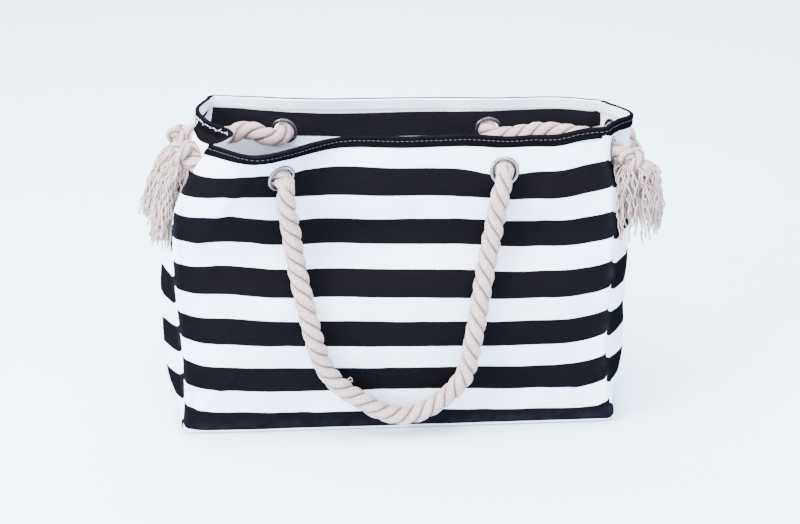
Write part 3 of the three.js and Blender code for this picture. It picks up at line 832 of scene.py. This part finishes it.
class Cloth:
    """The four walls' mid-surface as one ring of columns, with each wall's own cloth coordinates."""

    def __init__(self):
        self.levels = wall_levels()
        self.shares = {name: wall_columns(name) for name in WALLS}
        blocks, self.first, self.columns = [], {}, 0
        for name, shares in self.shares.items():
            share = shares[:-1]
            self.first[name] = self.columns
            self.columns += len(share)
            u, v = (g.ravel() for g in np.meshgrid(share, self.levels))
            blocks.append(self.wall(name, u, v).reshape(-1, len(share), 3))
        self.whole = np.concatenate(blocks, axis=1)
        across = np.roll(self.whole, -1, 1) - np.roll(self.whole, 1, 1)
        self.normal = unit(np.cross(across, np.gradient(self.whole, axis=0)))
        self.middle = self.whole.copy()
        self.open = np.zeros(self.middle.shape[:2], bool)
        self.punch()

    def ring(self, name):
        """The columns of a wall, from seam to seam."""
        return (self.first[name] + np.arange(len(self.shares[name]))) % self.columns

    def wall(self, name, u, v):
        point = wall_point(name, u, v)
        out = wall_normal(wall_point, name, np.clip(u, 1e-3, 1 - 1e-3), np.maximum(v, 2e-3))
        for place, wide, low, depth in DIPS.get(name, ()):
            point[:, 2] -= depth * bell(u, wide, place) * smooth((v - low) / (1 - low))
        a, b = ends(name, v)
        from_seam = np.minimum(u, 1 - u) * norm(b - a)
        calm = np.ones(len(u))  # no creases at an eyelet
        for eyelet in eyelets_in(name):
            far = norm(point - eyelet.centre)
            calm *= smooth((far - EYELET_OUTER / 2 - 1) / 10)
        quiet = calm * smooth(point[:, 2] / 16) * (0.35 + 0.65 * smooth((1 - v) * FABRIC / 30))
        amount = creases(name, u, v, point) * quiet * smooth(from_seam / 12)
        amount += seam_work(name, from_seam, point[:, 2]) * calm * smooth(point[:, 2] / 14)
        return point + out * amount[:, None]

    def punch(self):
        """Opens a round hole for each eyelet: the nearest points move onto its edge."""
        for eyelet in eyelets:
            away = self.middle - eyelet.centre
            depth = away @ eyelet.out
            flat = away - depth[..., None] * eyelet.out
            far = norm(flat)
            here = np.abs(depth) < 6
            near = (np.abs(far - HOLE) < 1.7) & here
            target = eyelet.centre + unit(flat) * HOLE + depth[..., None] * eyelet.out
            self.middle = np.where(near[..., None], target, self.middle)
            self.open |= ((far < HOLE + 0.2) & here) | near

    def cloth_uv(self, name):
        """Along and up the cloth of a wall, in metres, as its stripes have it."""
        line, share = self.whole[:, self.ring(name)], self.shares[name]
        up = lengths(line)
        start, lean = SHIFT[name]
        up = up / up[-1] * FABRIC + start + lean * share + self.drift(name, share, line)
        along = lengths(line[len(line) // 2]) + 37.0 * len(name)  # no two walls with the same weave
        return np.stack([np.broadcast_to(along, up.shape), up], -1) * MM

    def drift(self, name, share, line):
        """The stripes wander a little, and the seams pull them up at their ends."""
        middle = line[len(line) // 2]
        from_seam = np.minimum(share, 1 - share) * norm(middle[-1] - middle[0])
        level = self.levels[:, None]
        (high, low), reach = SEAM_PULL[name]
        near = 0.5 * np.exp(-from_seam / reach) + 0.5 * np.exp(-from_seam / (0.3 * reach))
        drift = 1.1 * noise_at(line / (70, 70, 55) + (0, 0, 9)) - (low + (high - low) * level) * near
        for place, up, wide, tall, down in WANDERS.get(name, ()):
            drift += down * bell(share, wide, place) * bell(level, tall, up)
        return drift

    def build(self):
        below = (1 - self.levels) * FABRIC
        hem = HEM_STEP * smooth((HEM / MM + HEM_EDGE - below) / (2 * HEM_EDGE))
        outer = self.middle + self.normal * CANVAS / 2
        inner = self.middle - self.normal * (CANVAS / 2 + hem[:, None, None])
        points = np.concatenate([outer.reshape(-1, 3), inner.reshape(-1, 3)])
        count = len(points) // 2
        index = np.arange(count).reshape(self.open.shape)
        faces, uv = [], []
        for name in WALLS:
            ring = self.ring(name)
            kept = ~quads(self.open[:, ring]).all(1)
            faces.append(quads(index[:, ring])[kept])
            uv.append(quads(self.cloth_uv(name))[kept])
        faces, uv = np.concatenate(faces), np.concatenate(uv)
        edges, edge_uv = self.close(faces, uv, count)
        back = [0, 3, 2, 1]
        faces, uv = np.concatenate([faces, count + faces[:, back], edges]), [*uv, *uv[:, back], *edge_uv]
        used, renumbered = np.unique(faces, return_inverse=True)
        depth = np.concatenate([np.ones(count), np.repeat(below * MM, self.columns)])
        wear = self.wear()
        values = {"hem_depth": depth[used], "wear": np.concatenate([wear, wear * 0.4])[used]}
        return new_mesh("canvas_shell", points[used], renumbered.reshape(-1, 4), uv, values)

    def close(self, faces, uv, count):
        """Joins the two faces of the cloth along every open edge."""
        edges = {}
        for i, face in enumerate(faces.tolist()):
            for k, (a, b) in enumerate(zip(face, face[1:] + face[:1])):
                if edges.pop((b, a), None) is None:
                    edges[a, b] = uv[i, k], uv[i, (k + 1) % 4]
        sides = [(b, a, count + a, count + b) for a, b in edges]
        return sides, [(uv_b, uv_a, uv_a, uv_b) for uv_a, uv_b in edges.values()]

    def wear(self):
        """Rubbed places: the corner seams and the base's edge."""
        away = np.abs(np.arange(self.columns)[:, None] - list(self.first.values()))
        near = np.minimum(away, self.columns - away).min(1)
        rubbed = bell(near, 2.2) + 0.7 * bell(self.middle[..., 2], 7, 8)
        return np.clip(rubbed * (0.55 + 0.9 * noise_at(self.middle / 7.0)), 0, 1).ravel()


BASE_SPINE = 150.0
BASE_STEPS = np.array([0.0, 0.012, 0.03, 0.07, 0.14, 0.25, 0.4, 0.6, 0.8, 1.0])  # from edge to spine
BASE_THICK = np.array([0.75, 0.97, 1, 1, 1, 1, 1, 1, 1, 1]) * CANVAS


def add_base(cloth, material):
    """The base, sewn inside the walls' tucked edges. It is flat where it stands."""
    edge = cloth.middle[0] * (1, 1, 0) + (0, 0, CANVAS / 2)
    spine = np.clip(edge, (-BASE_SPINE, 0, 0), (BASE_SPINE, 0, CANVAS))
    inset = edge + unit(spine - edge) * 0.8
    middle = inset + (spine - inset) * BASE_STEPS[:, None, None]
    half = np.zeros(middle.shape)
    half[..., 2] = BASE_THICK[:, None] / 2
    puff = np.zeros(middle.shape)
    puff[..., 2] = np.maximum(0.35 * noise_at(middle / 30.0) * smooth(BASE_STEPS / 0.2)[:, None], 0)
    grid = np.concatenate([(middle + half + puff)[::-1], middle - half])
    faces = grid_faces(*grid.shape[:2], ring=True)[:, ::-1]
    points = grid.reshape(-1, 3)
    uv = (points[:, :2] - (0, 10.0)) * MM
    values = {"hem_depth": np.ones(len(points)), "wear": np.zeros(len(points))}
    obj = new_mesh("base_canvas", points, faces, uv[faces.ravel()], values)
    dress(obj, material, "canvas", "base_panel")


WELT_ROW = 3  # the row of the canvas, in the base's tuck, that the welt is sewn along
WELT = 1.35


def add_welt(cloth, material):
    """A white cord of folded canvas, sewn in where the walls meet the base."""
    ring, out = cloth.whole[WELT_ROW], cloth.normal[WELT_ROW]
    up = unit(cloth.whole[WELT_ROW + 1] - cloth.whole[WELT_ROW])
    turns = circle(10)
    section = np.stack([1.3 + WELT * np.cos(turns), WELT * np.sin(turns)], 1)
    dress(sweep("base_welt", ring, out, up, section), material, "canvas")


def sweep(name, ring, out, up, section):
    """A closed section of (out, up) points, carried round a ring of points, and rubbed along its top."""
    section = np.asarray(section, float)
    points = ring[:, None] + out[:, None] * section[:, :1] + up[:, None] * section[:, 1:]
    rows, columns = points.shape[:2]
    faces = grid_faces(rows, columns, ring=True, loop=True)[:, [0, 3, 2, 1]]
    along, round_it = lengths(ring), lengths(around(section))
    s = np.repeat(along, columns)
    t, t_next = np.tile(round_it[:-1], rows), np.tile(round_it[1:], rows)
    s_next = s + along[1]
    uv = np.array([(s, t), (s_next, t), (s_next, t_next), (s, t_next)]).transpose(2, 0, 1) * MM
    rubbed = bell(section[:, 1], 1.2, 0.3) * (0.7 + noise_at(points / 9.0))
    return new_mesh(name, points, faces, uv, {"wear": np.clip(rubbed, 0, 1).ravel()})


TAPE_SECTION = [  # out of the canvas's middle, and up from the rim
    (1.15, -10.5), (1.9, -10.45), (2.25, -10.0), (2.35, -8.8), (2.3, -6.6), (2.1, -5.3), (1.75, -4.6),
    (1.7, -4.2), (1.8, -3.8), (2.25, -3.2), (2.45, -2.0), (2.4, -0.7), (2.15, 0.2), (1.6, 0.65), (0.9, 0.75),
    (0.2, 0.6), (0.1, 0.25), (1.05, 0.2),
]
STITCH_LEVEL = -4.2


def rim_ring(cloth):
    ring, out = cloth.middle[-1], cloth.normal[-1]
    up = unit(cloth.middle[-1] - cloth.middle[-4])
    up = unit(up - out * np.sum(up * out, axis=1, keepdims=True))
    return ring, out, up


def add_tape(cloth, material):
    dress(sweep("rim_binding", *rim_ring(cloth), TAPE_SECTION), material, "tape", "rim_tape")


def tubes(name, lines, radii, sides=6, body="bag"):
    """Many thin round threads as one piece, each with rounded ends."""
    points, faces, uv, count = [], [], [], 0
    turn = circle(sides)
    for line, radius in zip(lines, radii):
        line = np.asarray(line, float)
        tangent, side, up = frames(line)
        row = np.clip(np.arange(len(line) + 2) - 1, 0, len(line) - 1)
        centre, size = line[row], np.full((len(row), 1), radius)
        centre[0] -= tangent[0] * radius * 0.7
        centre[-1] += tangent[-1] * radius * 0.7
        size[[0, -1]] *= 0.35
        angle = np.broadcast_to(turn, (len(row), sides))
        points.append(circled(centre, size, angle, side[row], up[row]).reshape(-1, 3))
        more, more_uv = tube_faces(len(row), sides, lengths(line)[row] * MM, start=count)
        faces += more
        uv += more_uv
        count += len(row) * sides
    return new_mesh(name, np.vstack(points), faces, uv, body=body)


STITCH_PITCH, STITCH, THREAD = 4.4, 2.5, 0.3
HEM_STITCH_LEVEL = -8.6
BROKEN_FROM = 8.0  # along the left wall, where the tape is folded and its stitches are loose
FRAYED_ENDS, FRAY = 7, 6.0


def add_stitches(cloth, pale, grey):
    """The tape's row of stitches, loose white ones where it is folded, and the hem's row inside."""
    ring, out, up = rim_ring(cloth)
    rng = np.random.default_rng(11)
    rim = lengths(around(ring))

    def at(where, offset, level):
        def along(data):
            return np.array([np.interp(where % rim[-1], rim, column) for column in around(data).T])
        return along(ring) + along(out) * offset + along(up) * level

    left = rim[cloth.first["left"]]
    tape, loose, hem = [], [], []
    for where in np.arange(0, rim[-1], STITCH_PITCH):
        broken = where > left + BROKEN_FROM
        level = STITCH_LEVEL + rng.normal(0, 0.5 if broken else 0.1)
        line, inside = [], []
        for k in range(4):
            place, bulge = where + STITCH * k / 3, math.sin(math.pi * k / 3)
            stray = rng.normal(0, 0.5) if broken else 0
            line.append(at(place, 1.95 + 0.28 * bulge + (0.35 if broken else 0), level + stray))
            inside.append(at(place, -CANVAS / 2 - 0.75 - 0.2 * bulge, HEM_STITCH_LEVEL))
        (loose if broken else tape).append(line)
        hem.append(inside)
    for _ in range(FRAYED_ENDS):
        begin = at(rng.uniform(left + 6, left + 60), 2.6, -4.4 + rng.normal(0, 1.2))
        way = unit(rng.normal(0, 1, 3) + np.array([-1.2, -0.6, -0.4]))
        curl = rng.uniform(0, 6)
        s = np.linspace(0, FRAY, 9)
        bend = np.stack([0.8 * np.sin(s * 1.1 + curl), 0.5 * np.cos(s * 1.3 + curl), -0.03 * s * s], 1)
        loose.append(begin + way * s[:, None] + bend * s[:, None] / FRAY)
    for name, lines, thread in (("tape", tape, grey), ("loose", loose, pale), ("hem", hem, pale)):
        dress(tubes(f"{name}_stitches", lines, [THREAD] * len(lines)), thread, "label")


# ---- Eyelets, label and tassels.


def turned(name, profile, eyelet, sides=72):
    """A turned piece about an eyelet's axis, from a closed profile of (radius, out) points."""
    first = unit(np.cross(eyelet.out, (0, 0, 1.0)))
    second = np.cross(eyelet.out, first)
    turn = circle(sides)
    radii, heights = np.array(profile).T
    spokes = np.outer(np.cos(turn), first) + np.outer(np.sin(turn), second)
    points = eyelet.centre + spokes[:, None] * radii[:, None] + eyelet.out * heights[:, None]
    # Marks the hole's inner wall and the rim's outer edge, which the nickel material darkens as painted
    # shade.
    edge_shade = np.clip(1 - (radii - radii.min()), 0, 1) + np.clip(1 - (radii.max() - radii) / 0.9, 0, 1)
    faces = grid_faces(sides, len(radii), ring=True, loop=True)
    values = {"groove": np.tile(np.clip(edge_shade, 0, 1), sides)}
    return new_mesh(name, points, faces, values=values)


def rounded(profile, steps=6):
    """A closed profile with each corner listed as (x, y, radius) rounded off."""
    out = []
    n = len(profile)
    for i, (x, y, radius) in enumerate(profile):
        p = np.array([x, y])
        before = np.array(profile[i - 1][:2]) - p
        after = np.array(profile[(i + 1) % n][:2]) - p
        reach = min(radius, norm(before) / 2, norm(after) / 2)
        a, b = p + unit(before) * reach, p + unit(after) * reach
        for t in np.linspace(0, 1, steps if radius else 1):
            out.append(tuple((1 - t) ** 2 * a + 2 * t * (1 - t) * p + t * t * b))
    return out


def add_eyelets(material):
    hole, rim = EYELET_HOLE / 2, EYELET_OUTER / 2
    sleeve = hole + EYELET_WALL
    face = CANVAS / 2
    low, high = -face - FLANGE, face + FLANGE
    ring = rounded([
        (hole, low, 0.2), (sleeve, low, 0.3), (sleeve, face - 0.1, 0.1), (rim - 0.1, face - 0.1, 0.2),
        (rim, face + 0.45, 0.3), (rim - 0.9, high + 0.25, 0.8), (hole + 0.9, high + 0.45, 1.1),
        (hole, face + 0.2, 0.9),
    ])
    washer = rounded([
        (sleeve + 0.3, low - 0.15, 0.4), (rim - 0.6, low, 0.5), (rim, -face - 0.4, 0.3), (rim, -face, 0.1),
        (sleeve + 0.3, -face, 0.1),
    ])
    for kind, found in (("handle", handle_eyelets), ("gusset", gusset_eyelets)):
        for corner, eyelet in found.items():
            name = f"{corner}_{kind}"
            dress(turned(f"{name}_eyelet_ring", ring[::-1], eyelet), material, "nickel", f"{name}_eyelet")
            dress(turned(f"{name}_washer_ring", washer[::-1], eyelet), material, "nickel", f"{name}_washer")


LABEL_COLUMNS, LABEL_ROWS = 23, 13


def add_label(cloth_material, thread):
    u, v = (np.array([t]) for t in LABEL_PLACE)
    centre, inward = wall_point("back", u, v)[0], -wall_normal(wall_point, "back", u, v)[0]
    across = unit(np.cross((0, 0, 1.0), inward))
    up = np.cross(inward, across)
    wide, tall, thick = LABEL
    base = CANVAS / 2 + 0.3 + 0.5
    a, b = np.meshgrid(np.linspace(-1, 1, LABEL_COLUMNS), np.linspace(-1, 1, LABEL_ROWS))
    puff = thick * (0.35 + 0.65 * (1 - a**8) * (1 - b**8)) + 0.25 * np.sin(3 * a + 1) * (1 - b * b)
    flat = centre + across * a[..., None] * wide / 2 + up * b[..., None] * tall / 2 + inward * base
    points = np.concatenate([flat, flat + inward * puff[..., None]])
    index = np.arange(a.size).reshape(a.shape)
    border = np.concatenate([index[0, :-1], index[:-1, -1], index[-1, :0:-1], index[:0:-1, 0]])
    walls = quads(around(border[:, None])[:, 0] + np.array([[0], [a.size]]))
    faces = np.concatenate([quads(index + a.size), quads(index)[:, ::-1], walls])
    uv = np.tile(np.stack([(a + 1) * wide / 2, (b + 1) * tall / 2], -1).reshape(-1, 2), (2, 1)) * MM
    obj = new_mesh("blank_label", points, faces, uv[faces.ravel()])
    dress(obj, cloth_material, "label", "inner_label")
    top = centre + inward * (base + thick + 0.1)
    lines = [
        [top + across * end * (wide / 2 - 1.2) + up * (mid - tall / 2 + t) for t in (-0.8, 0, 0.8)]
        for end in (-1, 1) for mid in 1.4 + 2.3 * np.arange(5)
    ]
    dress(tubes("label_stitches", lines, [0.22] * len(lines)), thread, "label")


YARNS = 200
YARN_ROOT, YARN_STEP = 11.0, 2.0
SKIN_REACH, SKIN_GAP = 110.0, 1.8  # the canvas beside a knot, and how far its yarns stay from it
# How far each tassel fans out at its knot and at its tips, how far it first arches outwards, how long it
# is, and how straight down its tips hang.
TASSEL_LOOK = {
    "front_left": (1.25, -0.05, 0.5, 1.25, 0.45), "front_right": (1.35, -0.2, 1.6, 1.13, 1.0),
    "back_right": (0.8, 0.25, 0.1, 1.0, 0.3), "back_left": (1.2, 0.2, 0.2, 1.2, 0.1),
}


def skin_near(cloth, middle):
    """Points of the gusset's outer face near a knot, and which way each faces."""
    ring = cloth.ring("left" if middle[0] < 0 else "right")
    out = cloth.normal[:, ring].reshape(-1, 3)
    skin = cloth.middle[:, ring].reshape(-1, 3) + out * CANVAS / 2
    near = norm(skin - middle) < SKIN_REACH
    return skin[near], out[near]


def clear_of(at, skin, skin_out):
    """The same point, or one beside it that the canvas leaves room for."""
    gap = at - skin
    nearest = int(np.argmin(np.einsum("ij,ij->i", gap, gap)))
    room = gap[nearest] @ skin_out[nearest]
    return at + skin_out[nearest] * max(0, SKIN_GAP - room)


def tassel_yarn(rng, corner, middle, canvas):
    """One yarn: it leaves its knot, arches over and hangs, with kinks."""
    side, lean = math.copysign(1, middle[0]), math.radians(KNOTS[corner][3])
    fan, flare, arch, long, droop = TASSEL_LOOK[corner]
    axis = np.array([side * math.sin(lean), 0, -math.cos(lean)])
    turn, spread = rng.uniform(0, 2 * math.pi), math.sqrt(rng.uniform(0, 1))
    round_it = np.array([math.cos(turn) * math.cos(lean), math.sin(turn), 0]) * spread
    outwards = np.array([side * arch * rng.uniform(0, 1), 0, 0])
    start_way = unit(axis * (1.15 - arch * 0.6) + outwards + round_it * 0.75 * fan)
    length = TASSEL_LENGTH * long * rng.uniform(0.74, 1.14) + 6
    goal_way = unit(axis * (1 - droop) + DOWN * droop + round_it * flare)
    curl, pace, swing = rng.uniform(0, 6.28, 4), rng.uniform(0.2, 0.42), rng.uniform(0.35, 0.95)
    cross_a = unit(np.cross(axis, (0, 1.0, 0.2)))
    cross_b = np.cross(axis, cross_a)
    at = middle + start_way * YARN_ROOT
    line = [at]
    for s in YARN_STEP * np.arange(int(length / YARN_STEP)):
        hang = 1 - math.exp(-s / (11 + 7 * arch))
        kink_a = math.sin(s * pace + curl[0]) + 0.55 * math.sin(s * pace * 2.7 + curl[2])
        kink_b = math.cos(s * pace * 0.83 + curl[1]) + 0.55 * math.cos(s * pace * 2.2 + curl[3])
        wave = (cross_a * kink_a + cross_b * kink_b) * swing * min(1, s / 14)
        way = unit(start_way * (1 - hang) + goal_way * hang + DOWN * 0.8 * s / TASSEL_LENGTH + wave)
        at = clear_of(at + way * YARN_STEP, *canvas)
        line.append(at)
    return line


def add_tassels(cloth, material):
    """The rope's unlaid yarns below each knot: limp, curled and of uneven lengths."""
    for k, corner in enumerate(HANDLE_EYELETS):
        rng = np.random.default_rng(20 + k)
        middle = knot_centre(corner)
        canvas = skin_near(cloth, middle)
        lines, radii = [], []
        for _ in range(YARNS):
            lines.append(tassel_yarn(rng, corner, middle, canvas))
            radii.append(rng.uniform(0.6, 0.85))
        obj = tubes(f"{corner}_yarn_tassel", lines, radii, body=f"{corner}_tassel")
        dress(obj, material, "rope", f"{corner}_tassel")


# ---- The scene.

add_camera()
rope_cotton = rope_material()
add_handles(rope_cotton)
add_runs(rope_cotton)
add_knots(rope_cotton)
add_studio()

striped = canvas_material()
cloth = Cloth()
dress(cloth.build(), striped, "canvas", "front_panel", "back_panel", "left_gusset", "right_gusset")
add_base(cloth, striped)
add_welt(cloth, woven_material("white_welt", 60.0, WELT_TINTS, WEAVE, 0.0002, 0.8, Roughness=0.9,
                               Specular_IOR_Level=0.035))
add_tape(cloth, tape_material())
white_thread = thread_material("white_thread", WHITE_THREAD)
grey_thread = thread_material("grey_thread", GREY_THREAD)
add_stitches(cloth, white_thread, grey_thread)
add_eyelets(nickel_material())
add_label(woven_material("woven_label", 500.0, LABEL_TINTS, LABEL_WEAVE, 0.0001, 0.7, Roughness=0.7),
          white_thread)
yarn = yarn_material()
add_tassels(cloth, yarn)
add_frays(yarn)
